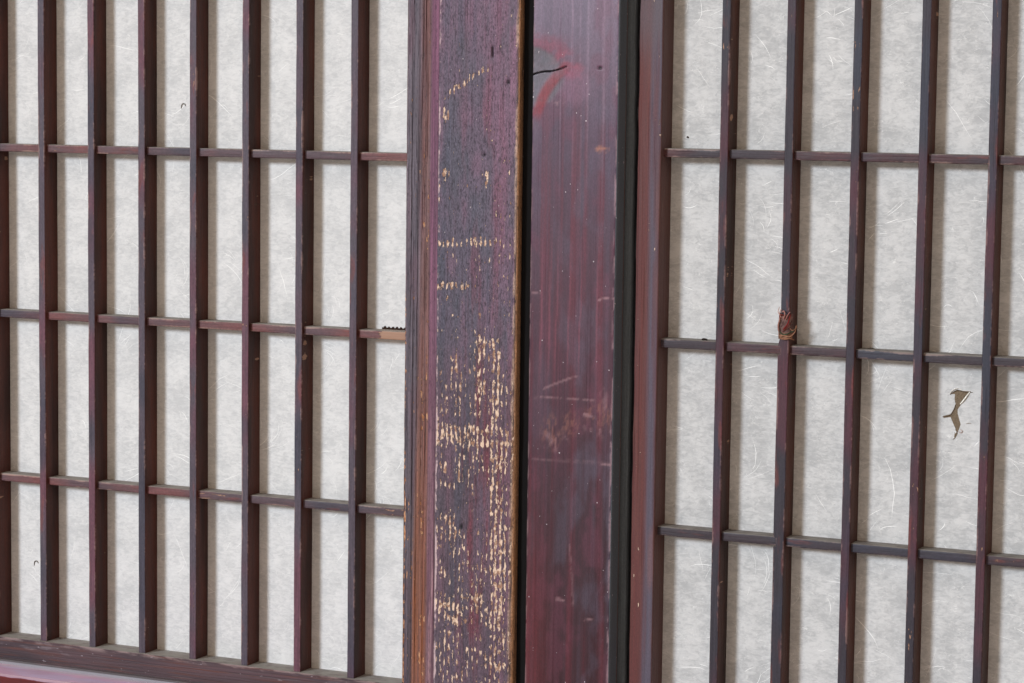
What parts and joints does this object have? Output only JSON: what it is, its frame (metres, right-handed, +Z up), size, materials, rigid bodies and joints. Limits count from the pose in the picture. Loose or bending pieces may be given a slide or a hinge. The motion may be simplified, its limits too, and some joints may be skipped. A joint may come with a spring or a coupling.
{
  "type": "shoji sliding screen",
  "caption": "Paper-backed lattice screens that slide in the grooves of their own lacquered wooden frame, with sill, head, posts and flat uprights in front.",
  "frame": {"origin": "on the floor, under the middle of the frame", "axes": "+X along the sill to the right as seen from the front, +Y to the back, +Z up"},
  "size_m": [1.6508, 0.09, 1.4305],
  "materials": {
    "dark_lacquer": "thin dark brown-red lacquer, satin, worn at the edges",
    "worn_lacquer": "purple-brown lacquer worn through to tan wood in rows of specks",
    "smooth_lacquer": "smooth purple-red lacquer, satin, with a knot and fine scratches",
    "red_lacquer": "red lacquer, satin, rubbed pale along its arrises",
    "bare_wood": "plain wood, unfinished",
    "washi": "matt fibrous paper with long white fibres and grey mottling"
  },
  "bodies": {
    "frame": {"sill": "red_lacquer", "head": "red_lacquer", "left_post": "red_lacquer", "right_post": "red_lacquer", "worn_upright": "worn_lacquer", "smooth_upright": "smooth_lacquer", "corner_pins": "bare_wood"},
    "left_screen": {"left_outer_stile": "dark_lacquer", "left_inner_stile": "dark_lacquer", "left_top_rail": "dark_lacquer", "left_bottom_rail": "dark_lacquer", "left_bar_01": "dark_lacquer", "left_bar_02": "dark_lacquer", "left_bar_03": "dark_lacquer", "left_bar_04": "dark_lacquer", "left_bar_05": "dark_lacquer", "left_bar_06": "dark_lacquer", "left_bar_07": "dark_lacquer", "left_bar_08": "dark_lacquer", "left_bar_09": "dark_lacquer", "left_bar_10": "dark_lacquer", "left_bar_11": "dark_lacquer", "left_bar_12": "dark_lacquer", "left_crossbar_1": "dark_lacquer", "left_crossbar_2": "dark_lacquer", "left_crossbar_3": "dark_lacquer", "left_crossbar_4": "dark_lacquer", "left_crossbar_5": "dark_lacquer", "left_crossbar_6": "dark_lacquer", "left_crossbar_7": "dark_lacquer", "left_crossbar_8": "dark_lacquer", "left_crossbar_9": "dark_lacquer", "left_paper": "washi"},
    "right_screen": {"right_outer_stile": "dark_lacquer", "right_inner_stile": "dark_lacquer", "right_top_rail": "dark_lacquer", "right_bottom_rail": "dark_lacquer", "right_bar_01": "dark_lacquer", "right_bar_02": "dark_lacquer", "right_bar_03": "dark_lacquer", "right_bar_04": "dark_lacquer", "right_bar_05": "dark_lacquer", "right_bar_06": "dark_lacquer", "right_bar_07": "dark_lacquer", "right_bar_08": "dark_lacquer", "right_bar_09": "dark_lacquer", "right_bar_10": "dark_lacquer", "right_bar_11": "dark_lacquer", "right_bar_12": "dark_lacquer", "right_crossbar_1": "dark_lacquer", "right_crossbar_2": "dark_lacquer", "right_crossbar_3": "dark_lacquer", "right_crossbar_4": "dark_lacquer", "right_crossbar_5": "dark_lacquer", "right_crossbar_6": "dark_lacquer", "right_crossbar_7": "dark_lacquer", "right_crossbar_8": "dark_lacquer", "right_crossbar_9": "dark_lacquer", "right_paper": "washi"}
  },
  "joints": [
    {"name": "left_screen_slide", "type": "slide", "parent": "frame", "child": "left_screen", "axis": [1, 0, 0], "range_m": [0, 0.79265]},
    {"name": "right_screen_slide", "type": "slide", "parent": "frame", "child": "right_screen", "axis": [-1, 0, 0], "range_m": [0, 0.79265]}
  ]
}
